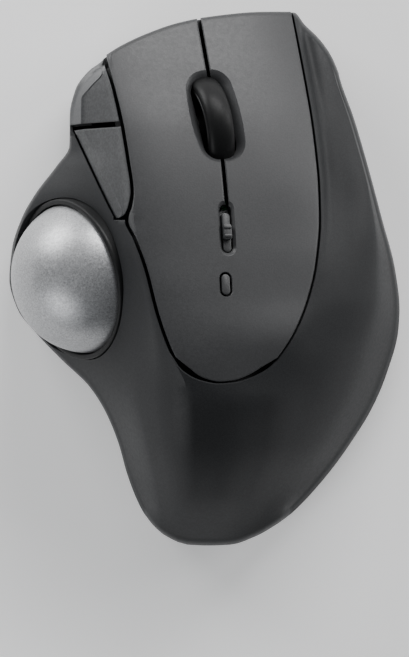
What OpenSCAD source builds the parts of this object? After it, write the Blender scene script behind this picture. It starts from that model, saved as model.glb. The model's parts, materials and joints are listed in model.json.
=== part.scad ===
// Thumb-operated trackball mouse: +Y is the front, +X the right side, +Z up.
// The origin is on the desk, under the middle of the body.

/* [Body] */
// Thickness of the moulded skins, measured straight down
skin = 2.2; // [1.8:0.1:2.4]
// Width of the groove around each key
groove = 0.8; // [0.6:0.1:1]
// Height of the desk feet
foot_h = 0.8; // [0.6:0.1:1]
// Thickness of the base plate
base_t = 1.8; // [1.6:0.1:2]
// How far the wall bulges out below its top edge, as a share of the half width
wall_bulge = 0.022; // [0.015:0.001:0.025]

/* [Trackball] */
// Diameter of the ball
ball_d = 36; // [35:0.5:36]
// Lean of the ball's opening towards the thumb, in degrees
ball_lean = 54; // [53:1:55]
// Distance from the ball's centre up to the plane of its opening
ball_lip = 5; // [4.5:0.1:5.2]

/* [Wheel] */
// Diameter of the wheel over its tyre
wheel_d = 24; // [23:0.5:24]
// Width of the tyre
wheel_w = 6.4; // [6:0.1:6.6]
// Lean of the wheel to the right, in degrees
wheel_lean = 18; // [17:1:19]

/* [Battery] */
// Diameter of the cell
cell_d = 14.5; // [13.5:0.5:14.5]
// Length of the cell
cell_l = 50.5; // [48:0.5:50.5]

/* [Hidden] */
$fn = 48;

// Colours
deck_grey = [0.40, 0.41, 0.43];
shell_grey = [0.17, 0.175, 0.185];
key_grey = [0.31, 0.315, 0.33];
board_green = [0.10, 0.32, 0.18];
steel = [0.72, 0.73, 0.75];
black = [0.07, 0.07, 0.08];

// The plan outline of the body at its widest, as y against x or x against y
left_outline = [[-62, -7], [-54.5, -14.1], [-46, -17.8], [-38, -20.1], [-31, -23], [-25, -26.8],
    [-19, -33], [-13, -38.8], [-7, -43.5], [0, -45.4], [7, -44.8], [14, -42.6], [20, -39.2],
    [26, -34.6], [31, -31.4], [38, -31.3], [44, -29.9], [48, -27], [51, -23.6], [60, -27]];
right_outline = [[-62, 10.5], [-54.5, 20.3], [-46, 28.2], [-38, 34.1], [-30, 39], [-22, 42.4],
    [-12, 45.1], [-7, 45.4], [2, 44.4], [14, 41.3], [26, 38.1], [37, 34.9], [48, 31.2],
    [60, 29.5]];
front_outline = [[-23.6, 51], [-19.6, 53.7], [-13.9, 56.5], [-6.2, 59.2], [2, 60.8], [13.2, 61.9],
    [20.8, 62], [23.3, 59.2], [26.1, 56.5], [28.4, 53.7], [30, 50.9], [31.2, 48]];
rear_outline = [[-14.1, -54.5], [-12, -57.2], [-8.8, -59.9], [-3.9, -61.8], [1, -62],
    [6, -61.8], [11.8, -59.9], [16.6, -57.2], [20.3, -54.5]];

// Cross sections from rear to front: y, the height of the left wall, then [x, z] on the
// shoulder, the crest, the middle, the right seam, the step's foot and the crease, and
// the height of the right wall
sections = [
    [-62, 11, [-9, 11.5], [-4, 12], [1, 12], [6.5, 11.8], [11, 11.5], [15, 11.2], 11],
    [-50, 11, [-10.5, 23], [-3.5, 30], [3, 29.6], [10.5, 25.5], [15, 21.5], [19.5, 16.5], 11],
    [-38, 12, [-13, 32], [-3.5, 41], [4, 40], [14, 35], [20.5, 29.5], [27, 22], 11.5],
    [-26, 15, [-15, 36], [-4, 46.6], [4, 45.6], [15, 40.8], [24, 33.8], [33, 24], 11],
    [-16, 15.5, [-13, 43], [-8.5, 48.3], [4, 46], [19, 40.4], [25, 36.2], [36, 25.5], 11],
    [-4, 11, [-14.2, 45], [-11.9, 47.6], [4, 44.4], [23.9, 36.8], [28.5, 34.2], [39.4, 24.5], 12],
    [8, 14.5, [-17.4, 43], [-15, 46], [4.5, 42], [26.2, 33.8], [29.8, 31.4], [39.6, 24], 16],
    [20, 21.8, [-18.8, 41], [-16.4, 44], [4.5, 39.3], [26.5, 31], [29.4, 28], [38, 23.2], 19],
    [34, 24.5, [-20.4, 38], [-18.4, 40.4], [3.5, 35.6], [25.1, 27.4], [28.2, 24.2], [34.3, 21], 18.5],
    [48, 27.5, [-22.9, 33.3], [-21.6, 35], [2, 30.6], [22.8, 22.6], [25.5, 19.4], [29.8, 18], 16.5],
    [60, 27.5, [-22.3, 28], [-21.4, 29], [1, 25.2], [20.4, 17.6], [22.6, 14.8], [26, 13.6], 12]];

// Where the grid of the top surface has its columns, counted in section points
columns = [0, 0.17, 0.33, 0.5, 0.67, 0.83, 1, 1.5, 2, 2.25, 2.5, 2.75, 3, 3.25, 3.5, 3.75, 4,
    4.5, 5, 5.33, 5.67, 6, 6.5, 7];
row_count = 30;
wall_base = foot_h + base_t;
wall_widest = 8;

// Smooth curves through a list of [position, value]
function slope(a, b) = (b[1] - a[1]) / (b[0] - a[0]);
function even_slope(s, t) = s * t <= 0 ? 0 : 2 * s * t / (s + t);
function knot_slope(c, k) =
    k == 0 ? slope(c[0], c[1])
    : k == len(c) - 1 ? slope(c[k - 1], c[k])
    : even_slope(slope(c[k - 1], c[k]), slope(c[k], c[k + 1]));
function span(c, x, k = 0) = k >= len(c) - 2 || x < c[k + 1][0] ? k : span(c, x, k + 1);
function blend(a, b, sa, sb, w, t) =
    a * (1 + 2 * t) * (1 - t) * (1 - t) + b * t * t * (3 - 2 * t)
    + w * (sa * t * (1 - t) * (1 - t) - sb * t * t * (1 - t));
function smooth(c, x) =
    let (k = span(c, x), a = c[k], b = c[k + 1], w = b[0] - a[0],
        t = max(0, min(1, (x - a[0]) / w)))
    blend(a[1], b[1], knot_slope(c, k), knot_slope(c, k + 1), w, t);
function mix(a, b, t) = a + (b - a) * t;

// The top surface
edge_share = 1 - wall_bulge;
line_count = 8;
lines_x = [for (k = [2 : 7]) [for (s = sections) [s[0], s[k][0]]]];
lines_z = [for (k = [1 : line_count]) [for (s = sections) [s[0], k == 1 || k == line_count
    ? s[k] : s[k][1]]]];
function line_x(k, y) =
    k == 0 ? smooth(left_outline, y) * edge_share
    : k == line_count - 1 ? smooth(right_outline, y) * edge_share
    : smooth(lines_x[k - 1], y);
function section(y) = [for (k = [0 : line_count - 1]) [line_x(k, y), smooth(lines_z[k], y)]];
function top_z(x, y) = smooth(section(y), x);
function lowest_z(x, y, r) =
    min([for (d = [[r, 0], [-r, 0], [0, r], [0, -r], [0, 0]]) top_z(x + d[0], y + d[1])]);
function column_x(u, y) =
    let (k = min(floor(u), line_count - 2))
    mix(line_x(k, y), line_x(k + 1, y), u - k);
function column_end(u, outline, y, turns = 5) =
    turns == 0 ? y
    : column_end(u, outline, smooth(outline, column_x(u, y) / edge_share) * edge_share,
        turns - 1);
function column_points(u) =
    let (rear = column_end(u, rear_outline, -60), front = column_end(u, front_outline, 52))
    [for (i = [0 : row_count])
        let (y = mix(rear, front, (1 - cos(180 * i / row_count)) / 4 + i / row_count / 2),
            x = column_x(u, y))
        [x, y, top_z(x, y)]];
top_grid = [for (u = columns) column_points(u)];
column_count = len(columns);

// The wall hangs from the grid's edge as rings that share its points
rim = concat(
    [for (i = [0 : row_count - 1]) top_grid[0][i]],
    [for (j = [0 : column_count - 2]) top_grid[j][row_count]],
    [for (i = [0 : row_count - 1]) top_grid[column_count - 1][row_count - i]],
    [for (j = [0 : column_count - 2]) top_grid[column_count - 1 - j][0]]);
rim_count = len(rim);
function widen(p, share, z) = [p[0] * share, p[1] * share, z];
function wall_ring(level) = [for (p = rim)
    level == 0 ? widen(p, 1 + wall_bulge * 0.6, p[2] - 1.4)
    : level == 1 ? widen(p, 1 / edge_share, mix(wall_widest, p[2], 0.35))
    : level == 2 ? widen(p, 1 / edge_share, wall_widest)
    : widen(p, 1, wall_base)];
function inward(p) =
    [p[0] * 0.953, p[1] * 0.962, p[2] - min(skin, (p[2] - wall_base) * 0.3)];

// Outer surface: the grid column by column, then the wall rings
outer_points = concat([for (c = top_grid) for (p = c) p], [for (l = [0 : 3]) each wall_ring(l)]);
surface_size = len(outer_points);
grid_size = column_count * (row_count + 1);
rim_index = concat(
    [for (i = [0 : row_count - 1]) i],
    [for (j = [0 : column_count - 2]) j * (row_count + 1) + row_count],
    [for (i = [0 : row_count - 1]) grid_size - 1 - i],
    [for (j = [0 : column_count - 2]) (column_count - 1 - j) * (row_count + 1)]);
function ring_index(level, i) = level < 0 ? rim_index[i] : grid_size + level * rim_count + i;
function quad(a, b, c, d) = [[a, b, c], [a, c, d]];
outer_faces = concat(
    [for (j = [0 : column_count - 2]) for (i = [0 : row_count - 1])
        let (a = j * (row_count + 1) + i)
        each quad(a, a + 1, a + row_count + 2, a + row_count + 1)],
    [for (l = [-1 : 2]) for (i = [0 : rim_count - 1])
        let (k = (i + 1) % rim_count)
        each quad(ring_index(l, k), ring_index(l, i), ring_index(l + 1, i),
            ring_index(l + 1, k))]);
shell_faces = concat(
    outer_faces,
    [for (f = outer_faces) [f[2] + surface_size, f[1] + surface_size, f[0] + surface_size]],
    [for (i = [0 : rim_count - 1])
        let (k = (i + 1) % rim_count, a = ring_index(3, i), b = ring_index(3, k))
        each quad(a, a + surface_size, b + surface_size, b)]);
base_outline = [for (p = wall_ring(3)) [p[0], p[1]]];

// One piece of skin over a four-sided plan patch, from curves given as y against x positions
module skin_patch(left, right, rear, front, across, along, thick) {
    grid = [for (j = [0 : across]) for (i = [0 : along])
        let (u = j / across, v = i / along,
            y0 = smooth(rear, mix(rear[0][0], rear[len(rear) - 1][0], u)),
            y1 = smooth(front, mix(front[0][0], front[len(front) - 1][0], u)),
            y = mix(y0, y1, v),
            x = mix(smooth(left, y), smooth(right, y), u))
        [x, y, top_z(x, y)]];
    n = len(grid);
    ring = concat(
        [for (i = [0 : along - 1]) i],
        [for (j = [0 : across - 1]) j * (along + 1) + along],
        [for (i = [0 : along - 1]) n - 1 - i],
        [for (j = [0 : across - 1]) (across - j) * (along + 1)]);
    top = [for (j = [0 : across - 1]) for (i = [0 : along - 1])
        let (a = j * (along + 1) + i)
        each quad(a, a + 1, a + along + 2, a + along + 1)];
    polyhedron(
        concat(grid, [for (p = grid) p - [0, 0, thick]]),
        concat(top, [for (f = top) [f[2] + n, f[1] + n, f[0] + n]],
            [for (i = [0 : len(ring) - 1])
                let (a = ring[i], b = ring[(i + 1) % len(ring)])
                each quad(b, a, a + n, b + n)]));
}

// A flat prism over the base outline
module base_prism(z, h, share = 0.995) {
    translate([0, 0, z]) linear_extrude(h) scale(share) polygon(base_outline);
}

// A pill-shaped or rounded prism, centred in plan, that starts at z
module rounded_prism(w, l, r, z, h) {
    translate([0, 0, z]) linear_extrude(h) {
        square([w - 2 * r, l], center = true);
        square([w, l - 2 * r], center = true);
        for (sx = [-1, 1], sy = [-1, 1])
            translate([sx * (w / 2 - r), sy * (l / 2 - r)]) circle(r);
    }
}

// A block centred in plan that starts at z
module block(w, l, z, h) {
    translate([-w / 2, -l / 2, z]) cube([w, l, h]);
}

// Seams between the top pieces, as x against y
deck_left = [[-18, -7], [-15.5, -8.2], [-8, -10.8], [2, -13.4], [9, -15.9], [13.4, -17.9],
    [14.6, -17.7], [16.5, -17], [19.6, -16.6], [27.5, -17.6], [35.8, -19], [44, -21], [51.2, -23]];
deck_right = [[-18.3, 16.9], [-11.9, 21], [-4.5, 23.9], [3.3, 25.7], [13.5, 26.6], [21.6, 26.4],
    [29.4, 25.7], [36.7, 24.8], [44.4, 23.5], [50.5, 22.4], [62, 20.2], [66, 19.4]];
deck_rear = [[-7, -18.2], [-5.3, -20.7], [-1.1, -23.1], [3.2, -23.9], [7, -23.6], [11, -22.4],
    [14.4, -20.6], [16.7, -18.4]];
split = [[19.6, 4.9], [27.6, 4.1], [47.5, 0.9], [60, -1.3], [66, -2.3]];
side_gap_y = [[-31.5, 34.7], [-19, 35.4]];
back_tip_y = 13.9;
back_left = [[13.9, -20.3], [16, -21.4], [34.3, -30.1]];
back_right = [[13.9, -19.6], [14.8, -18.3], [16.5, -17.6], [19.6, -17], [27.5, -18], [35.8, -19.4]];
forward_right = [[35, -19.3], [44, -21.4], [50.4, -23.5]];

// Where each key bends, and the parts' places
hinge_y = 19.8;
side_skin = skin + 1.4;
lip_h = 2.9;
edge_gap = groove / 2;
ball_at = [-26.8, 0.8, 22.5];
ball_turn = 194;
ball_gap = 0.35;
socket_t = 1.8;
socket_inner = ball_d / 2 + ball_gap + 0.15;
socket_outer = socket_inner + socket_t;
wheel_at = [0.5, 34.9, 27.5];
well_turn = 8.7;
tie_y = 13.6;
slot_at = [5.2, 11.6];
pill_at = [4.95, -1.35];
board_z = 10.4;
board_t = 1.6;
board_top = board_z + board_t;
board_outline = [[-4, 12], [-1, 10.8], [24, 10.8], [25, 30], [22, 46], [14, 52], [-10, 50], [-19, 44],
    [-19, 23], [-4, 23]];
standoffs = [[-15, 27], [-5.6, 47.8], [20.5, 14], [19, 45.5]];
key_switch_x = [-11, 14];
key_switch_y = 40;
plunger_y = 43.5;
case_posts = [[-32, 24.5], [29, 34], [33, -8], [-5, -48]];
cell_at = [15, -17, wall_base + cell_d / 2 + 0.7];
door_box = [-9, -44.5, 24, 10];
receiver_at = [-2.5, -29];
power_at = [2, 30];
pair_at = [14, 32];

function shift(c, d) = [for (p = c) [p[0], p[1] + d]];
function clip(c, a, b, n) = [for (i = [0 : n]) let (x = mix(a, b, i / n)) [x, smooth(c, x)]];
function level_line(a, b, y) = [[a, y], [b, y]];

// A frame that lies on the top surface: x across the slope, z along the normal
function tangent(x, y, dx, dy) =
    let (v = [dx, dy, top_z(x + dx / 2, y + dy / 2) - top_z(x - dx / 2, y - dy / 2)])
    v / norm(v);
function surface_frame(x, y) =
    let (a = tangent(x, y, 6, 0), b = tangent(x, y, 0, 6), n = cross(a, b) / norm(cross(a, b)),
        c = cross(n, a), o = [x, y, top_z(x, y)])
    [a, c, n, o];
function frame_matrix(f) = [[f[0][0], f[1][0], f[2][0], f[3][0]],
    [f[0][1], f[1][1], f[2][1], f[3][1]],
    [f[0][2], f[1][2], f[2][2], f[3][2]]];
module on_frame(f) {
    multmatrix(frame_matrix(f)) children();
}
deck_frame = surface_frame(slot_at[0], slot_at[1]);
pill_frame = surface_frame(pill_at[0], pill_at[1]);
side_frame = surface_frame(-24.6, 35.6);
upper_frame = surface_frame(5, 5);
module on_ball() {
    translate(ball_at) rotate([0, ball_lean, ball_turn]) children();
}
module on_wheel() {
    translate(wheel_at) rotate([0, wheel_lean, 0]) rotate([0, 0, well_turn]) children();
}
module across_wheel() {
    on_wheel() rotate([0, 90, 0]) children();
}

// Skin solids and the pockets that are cut for them
module deck_pocket() {
    translate([0, 0, 6]) skin_patch(shift(deck_left, -edge_gap), shift(deck_right, edge_gap),
        shift(deck_rear, -edge_gap), clip(shift(front_outline, 4), -23.6, 20.6, 10), 12, 40,
        skin + 8.3);
}
module side_pocket() {
    translate([0, 0, 6]) skin_patch(shift(left_outline, -2), shift(forward_right, 2.4),
        shift(side_gap_y, -2), level_line(-28.6, -21, 52.4), 18, 18, side_skin + 7.5);
    translate([0, 0, 6]) skin_patch(shift(back_left, -edge_gap), shift(back_right, 2.4),
        level_line(-21, -17, back_tip_y - edge_gap), shift(side_gap_y, 1), 10, 16, side_skin + 7.5);
}

module main_shell() {
    color(shell_grey) difference() {
        union() {
            polyhedron(concat(outer_points, [for (p = outer_points) inward(p)]), shell_faces);
            for (p = case_posts)
                translate([p[0], p[1], wall_base])
                    cylinder(h = lowest_z(p[0], p[1], 2.8) - wall_base - 1, r = 2.8);
        }
        deck_pocket();
        side_pocket();
        on_ball() rotate_extrude($fn = 96) intersection() {
            circle(socket_outer + 0.2);
            translate([0, -socket_outer]) square([socket_outer + 1, socket_outer + 2.2]);
        }
        on_ball() translate([0, 0, -6]) cylinder(h = 30, r = ball_d / 2 + 1.05, $fn = 96);
        for (p = case_posts)
            translate([p[0], p[1], wall_base - 1]) cylinder(h = 9.5, r = 0.95);
    }
}

module wheel_well() {
    across_wheel() cylinder(h = 7.4, r = wheel_d / 2 + 0.6, center = true, $fn = 96);
    on_frame(surface_frame(2.6, 37.4)) rotate([0, 0, well_turn]) {
        rounded_prism(7.7, 19.4, 2.4, -8, 16);
        hull() {
            rounded_prism(7.7, 19.4, 2.4, -1.6, 0.1);
            rounded_prism(12.4, 24, 4.6, 0.8, 0.1);
        }
    }
}

module top_plate() {
    color(deck_grey) difference() {
        union() {
            skin_patch(shift(deck_left, edge_gap), shift(deck_right, -edge_gap * 0.7),
                shift(deck_rear, edge_gap), level_line(-16.2, 26, hinge_y - 0.15), 14, 14, skin);
            for (x = [-6, 6], y = [-11, 13])
                on_frame(upper_frame) translate([x, y, -7.1]) cylinder(h = 5.6, r = 1.5);
        }
        on_frame(deck_frame) rounded_prism(2.8, 11.4, 1.39, -6, 12);
        on_frame(pill_frame) rounded_prism(2.9, 5.7, 1.44, -6, 12);
    }
}

// The leg under a key that reaches its switch
module key_leg(x) {
    top = top_z(x, plunger_y) - 1;
    translate([x, plunger_y, 0]) block(3, 3, board_top + 7.36, top - board_top - 7.36);
}

module left_key() {
    color(deck_grey) difference() {
        union() {
            skin_patch(shift(deck_left, edge_gap), shift(split, -edge_gap),
                level_line(-16.2, 4.5, hinge_y + 0.15), clip(front_outline, -22.6, -1.7, 8),
                10, 14, skin);
            skin_patch(shift(deck_left, edge_gap), shift(split, -edge_gap),
                clip(shift(front_outline, -1.5), -22.6, -1.7, 8),
                clip(front_outline, -22.6, -1.7, 8), 8, 1, lip_h);
            key_leg(key_switch_x[0]);
        }
        wheel_well();
    }
}

module right_key() {
    color(deck_grey) difference() {
        union() {
            skin_patch(shift(split, edge_gap), shift(deck_right, -edge_gap * 0.7),
                level_line(5.3, 26.1, hinge_y + 0.15), clip(front_outline, -0.9, 19.9, 8),
                10, 14, skin);
            skin_patch(shift(split, edge_gap), shift(deck_right, -edge_gap * 0.7),
                clip(shift(front_outline, -1.5), -0.9, 19.9, 8),
                clip(front_outline, -0.9, 19.9, 8), 8, 1, lip_h);
            key_leg(key_switch_x[1]);
        }
        wheel_well();
    }
}

module forward_key() {
    color(key_grey) {
        skin_patch(left_outline, forward_right, shift(side_gap_y, edge_gap + 0.4),
            level_line(-25.2, -23.3, 49.3), 8, 12, side_skin);
        on_frame(side_frame) translate([0, 7.4, 0]) block(2.4, 2.4, -4.34, 2.9);
    }
}

module back_key() {
    color(key_grey) {
        skin_patch(back_left, back_right, level_line(-20.3, -19.6, back_tip_y),
            shift(side_gap_y, -edge_gap), 6, 12, side_skin);
        on_frame(side_frame) translate([0, -7.4, 0]) block(2.4, 2.4, -4.34, 2.9);
    }
}

module trackball() {
    color([0.55, 0.56, 0.58]) translate(ball_at) sphere(d = ball_d, $fn = 96);
}

module ball_ring() {
    color([0.24, 0.245, 0.255]) on_ball() rotate_extrude($fn = 96) difference() {
        translate([ball_d / 2 - 1.4, 2.2]) square([2.3, ball_lip - 1.9]);
        circle(ball_d / 2 + ball_gap);
    }
}

module ball_socket() {
    color(shell_grey) difference() {
        union() {
            on_ball() rotate_extrude($fn = 96) intersection() {
                circle(socket_outer);
                translate([0, -socket_outer]) square([socket_outer, socket_outer + 2]);
            }
            on_ball() for (a = [60, 180, 300])
                rotate([0, 125, a]) translate([0, 0, socket_inner]) cylinder(h = 3.1, r = 2.8);
            for (a = [100, 200, 340])
                translate([ball_at[0] + 12.5 * cos(a), ball_at[1] + 12.5 * sin(a), wall_base])
                    cylinder(h = 6, r = 2);
        }
        translate(ball_at) sphere(socket_inner, $fn = 96);
        on_ball() for (a = [60, 180, 300])
            rotate([0, 125, a]) translate([0, 0, socket_inner - 2]) cylinder(h = 4.6, r = 1.56);
        translate([ball_at[0], ball_at[1], 0]) cylinder(h = 12, r = 7);
        translate(ball_at) rotate([0, 115, 0]) cylinder(h = 30, r = 4.2);
        on_ball() translate([0, 0, 2]) cylinder(h = 30, r = 30);
        side_pocket();
    }
}

module support_bearings() {
    color(steel) on_ball() for (a = [60, 180, 300])
        rotate([0, 125, a]) translate([0, 0, ball_d / 2 + 1.53]) sphere(1.5);
}

// Sensor pieces stand along one line out of the ball's centre
module on_sensor(d) {
    translate(ball_at) rotate([0, 115, 0]) translate([0, 0, d]) children();
}
module sensor_lens() {
    color([0.8, 0.85, 0.9]) on_sensor(ball_d / 2 + 1) cylinder(h = 3.2, r1 = 3.2, r2 = 4);
}
module sensor_chip() {
    color(black) on_sensor(ball_d / 2 + 4.25) block(8, 10, 0, 2.2);
}
module sensor_board() {
    color(board_green) on_sensor(ball_d / 2 + 6.5) block(12, 20, 0, 1.2);
}

module wheel_tyre() {
    color(black) across_wheel() rotate_extrude($fn = 96) {
        translate([wheel_d / 2 - 2.4, -wheel_w / 2]) square([1.2, wheel_w]);
        translate([wheel_d / 2 - 1.4, -wheel_w / 2 + 1.2]) square([1.4, wheel_w - 2.4]);
        for (s = [-1, 1])
            translate([wheel_d / 2 - 1.2, s * (wheel_w / 2 - 1.2)]) circle(1.2);
    }
}

module wheel_hub() {
    color([0.25, 0.25, 0.26]) across_wheel() difference() {
        union() {
            cylinder(h = wheel_w - 1.2, r = wheel_d / 2 - 2.45, center = true, $fn = 96);
            cylinder(h = wheel_w + 0.6, r = 2.6, center = true);
        }
        for (s = [-1, 1])
            translate([0, 0, s * (wheel_w / 2 + 0.4)]) difference() {
                cylinder(h = 3.4, r = wheel_d / 2 - 3.6, center = true);
                cylinder(h = 4, r = 3.6, center = true);
            }
        cylinder(h = 20, r = 1.22, center = true);
    }
}

module wheel_axle() {
    color(steel) across_wheel() cylinder(h = 14.6, r = 1.2, center = true);
}

module wheel_carriage() {
    color([0.55, 0.56, 0.58]) {
        on_wheel() difference() {
            union() {
                for (s = [-1, 1]) {
                    translate([s * 4.7, 0, 0]) block(1.4, 2 * tie_y + 1.4, -4.2, 3);
                    translate([s * 4.7, 0, 0]) block(1.4, 6, -2, 4.6);
                    translate([0, s * tie_y, 0]) block(10.8, 1.4, -4.2, 3);
                }
            }
            rotate([0, 90, 0]) cylinder(h = 20, r = 1.28, center = true);
        }
        translate([wheel_at[0], wheel_at[1] + tie_y, 0])
            block(2.6, 1.4, board_top + 4.36, wheel_at[2] - 3 - board_top - 4.36);
    }
}

module wheel_encoder() {
    color([0.2, 0.35, 0.6]) on_wheel() difference() {
        translate([-7.3, 0, 0]) block(3.6, 9, -6, 8.4);
        rotate([0, -90, 0]) cylinder(h = 12, r = 1.3);
    }
}

// A tact switch body that stands at z with its plunger's bore in the top
module tact_body(w, h, bore) {
    difference() {
        block(w, w, 0, h);
        translate([0, 0, h - 1.2]) cylinder(h = 2, r = bore);
    }
}
// The plunger of a tact switch: its top stands proud of the body
module tact_plunger(h, proud, r) {
    translate([0, 0, h - 0.6]) cylinder(h = 0.6 + proud, r = r);
}
module key_switch(x) {
    color(black) translate([x, key_switch_y, board_top]) difference() {
        block(5.8, 12.8, 0, 6.5);
        translate([0, plunger_y - key_switch_y, 5.2]) cylinder(h = 2, r = 1.1);
    }
}
module key_plunger(x) {
    color([0.9, 0.9, 0.88]) translate([x, plunger_y, board_top + 5.9]) cylinder(h = 1.4, r = 1);
}
module left_switch() { key_switch(key_switch_x[0]); }
module left_plunger() { key_plunger(key_switch_x[0]); }
module right_switch() { key_switch(key_switch_x[1]); }
module right_plunger() { key_plunger(key_switch_x[1]); }

click_h = 3.5;
module on_click() {
    translate([wheel_at[0], wheel_at[1] + tie_y, board_top]) children();
}
module click_switch() {
    color(black) on_click() translate([0, -1.6, 0]) difference() {
        block(6, 6, 0, click_h);
        translate([0, 1.6, click_h - 1.2]) cylinder(h = 2, r = 1.3);
    }
}
module click_plunger() {
    color([0.9, 0.9, 0.88]) on_click() tact_plunger(click_h, 0.8, 1.2);
}

// A compression spring as a tube swept along a helix
module helix_spring(r, h, wire, turns, around = 6) {
    steps = turns * 14;
    ring = [for (s = [0 : steps]) for (a = [0 : around - 1])
        let (t = 360 * turns * s / steps, q = 360 * a / around, e = r + wire * cos(q))
        [e * cos(t), e * sin(t), wire + (h - 2 * wire) * s / steps + wire * sin(q)]];
    n = len(ring);
    polyhedron(ring, concat(
        [[for (a = [0 : around - 1]) a]],
        [[for (a = [around - 1 : -1 : 0]) n - around + a]],
        [for (s = [0 : steps - 1]) for (a = [0 : around - 1])
            let (b = (a + 1) % around, i = s * around)
            each quad(i + a, i + a + around, i + b + around, i + b)]));
}

module carriage_spring() {
    spring_top = wheel_at[2] - 4.2 * cos(wheel_lean) - 0.15;
    color(steel) translate([wheel_at[0] - 1.3, wheel_at[1] - tie_y, board_top])
        helix_spring(1.6, spring_top - board_top - 0.6, 0.22, 6);
}

slider_w = 2;
slider_l = 9.3;
slider_y = -0.9;
module speed_slider() {
    color(deck_grey) on_frame(deck_frame) translate([0, slider_y, 0]) {
        rounded_prism(slider_w, slider_l, 0.99, -2.9, 2.3);
        rounded_prism(slider_w, 3.6, 0.6, -1, 1.9);
        block(4.4, 9, -3.4, 0.8);
        block(1.2, 2, -4.8, 1.6);
    }
}
module speed_switch() {
    color(black) on_frame(deck_frame) difference() {
        block(5, 10, -7, 3);
        translate([0, 0, 0]) block(1.8, 6.4, -5.2, 4);
    }
}

module mode_button() {
    color(deck_grey) on_frame(pill_frame) {
        rounded_prism(2, 4.8, 0.99, -3.4, 3.4);
        block(3.8, 6.6, -3.6, 0.7);
    }
}
module mode_switch() {
    color(black) on_frame(pill_frame) translate([0, 0, -6.9]) tact_body(4.6, 2.4, 1.1);
}
module mode_plunger() {
    color([0.9, 0.9, 0.88]) on_frame(pill_frame) translate([0, 0, -6.9])
        tact_plunger(2.4, 0.82, 1);
}
module status_led() {
    color([0.6, 0.9, 0.6]) on_frame(upper_frame) translate([3, -9.5, 0]) block(1.6, 0.9, -7.1, 0.7);
}
module upper_board() {
    color(board_green) on_frame(upper_frame) difference() {
        block(16, 30, -8.2, 1);
        for (x = [-6, 6], y = [-11, 13])
            translate([x, y, -9]) cylinder(h = 3, r = 0.8);
    }
}

module main_board() {
    color(board_green) difference() {
        translate([0, 0, board_z]) linear_extrude(board_t) polygon(board_outline);
        for (p = standoffs)
            translate([p[0], p[1], board_z - 1]) cylinder(h = 4, r = 1.2);
    }
}
module radio_chip() {
    color(black) translate([4, 17, 0]) block(7, 7, board_top, 1);
}

side_drop = -9;
module side_bracket() {
    color(shell_grey) difference() {
        union() {
            on_frame(side_frame) block(9, 22, side_drop - 2.6, 1.4);
            translate([-20.4, 35.6, 0]) block(2.4, 16, wall_base, 20.4);
        }
        on_frame(side_frame) block(12, 26, side_drop - 1.2, 6);
    }
}
module side_board() {
    color(board_green) on_frame(side_frame) block(8, 22, side_drop - 1.2, 1);
}
module side_switch(y) {
    color(black) on_frame(side_frame) translate([0, y, side_drop - 0.2]) tact_body(5, 4, 1.3);
}
module side_plunger(y) {
    color([0.9, 0.9, 0.88]) on_frame(side_frame) translate([0, y, side_drop - 0.2])
        tact_plunger(4, 0.8, 1.2);
}
module forward_switch() { side_switch(7.4); }
module forward_plunger() { side_plunger(7.4); }
module back_switch() { side_switch(-7.4); }
module back_plunger() { side_plunger(-7.4); }

module battery() {
    color([0.75, 0.6, 0.25]) translate([cell_at[0], cell_at[1] - cell_l / 2, cell_at[2]])
        rotate([-90, 0, 0]) {
            cylinder(h = cell_l - 1.2, d = cell_d);
            cylinder(h = cell_l, d = 5.2);
        }
}
module battery_spring() {
    color(steel) translate([cell_at[0], cell_at[1] - cell_l / 2 - 2.9, cell_at[2]])
        rotate([-90, 0, 0]) helix_spring(3.6, 2.8, 0.3, 3);
}
module battery_contact() {
    color(steel) translate([cell_at[0], cell_at[1] + cell_l / 2 + 0.35, cell_at[2]])
        translate([-4, -0.25, -5]) cube([8, 0.5, 10]);
}

wall = 1.2;
module bay_walls() {
    bay_r = cell_d / 2 + 0.4;
    front = cell_at[1] + cell_l / 2 + 0.65;
    rear = cell_at[1] - cell_l / 2 - 3;
    for (s = [-1, 1])
        translate([cell_at[0] + s * (bay_r + wall / 2), (front + rear) / 2, 0])
            block(wall, front - rear + 2 * wall, wall_base, 7);
    for (y = [front + wall / 2, rear - wall / 2])
        translate([cell_at[0], y, 0]) block(2 * bay_r - 2, wall, wall_base, 8.4);
    translate([door_box[0] - wall / 2 - 0.4, receiver_at[1], 0]) block(wall, 22, wall_base, 7);
    translate([(door_box[0] + cell_at[0] - bay_r) / 2 - 0.8, receiver_at[1], 0])
        block(cell_at[0] - bay_r - door_box[0] + 0.6, 22, wall_base + 6, 1);
}
module base_plate() {
    door_w = door_box[2] - door_box[0];
    door_l = door_box[3] - door_box[1];
    color(shell_grey) difference() {
        union() {
            difference() {
                base_prism(foot_h, base_t);
                translate([door_box[0] + door_w / 2, door_box[1] + door_l / 2, 0])
                    rounded_prism(door_w, door_l, 3, foot_h - 1, base_t + 2);
            }
            bay_walls();
            for (p = standoffs)
                translate([p[0], p[1], foot_h]) cylinder(h = board_z - foot_h, r = 2.4);
        }
        for (p = standoffs)
            translate([p[0], p[1], board_z - 6]) cylinder(h = 8, r = 0.9);
        for (p = case_posts) {
            translate([p[0], p[1], foot_h - 1]) cylinder(h = base_t + 2, r = 1.2);
            translate([p[0], p[1], foot_h - 1]) cylinder(h = 2.1, r = 2.5);
        }
        translate([ball_at[0], ball_at[1], foot_h - 1]) cylinder(h = base_t + 2, r = 6.5);
        translate([power_at[0], power_at[1], 0]) rounded_prism(6.4, 3.2, 1.5, foot_h - 1, 5);
        translate([pair_at[0], pair_at[1], foot_h - 1]) cylinder(h = 5, r = 2.3);
    }
}
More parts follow.
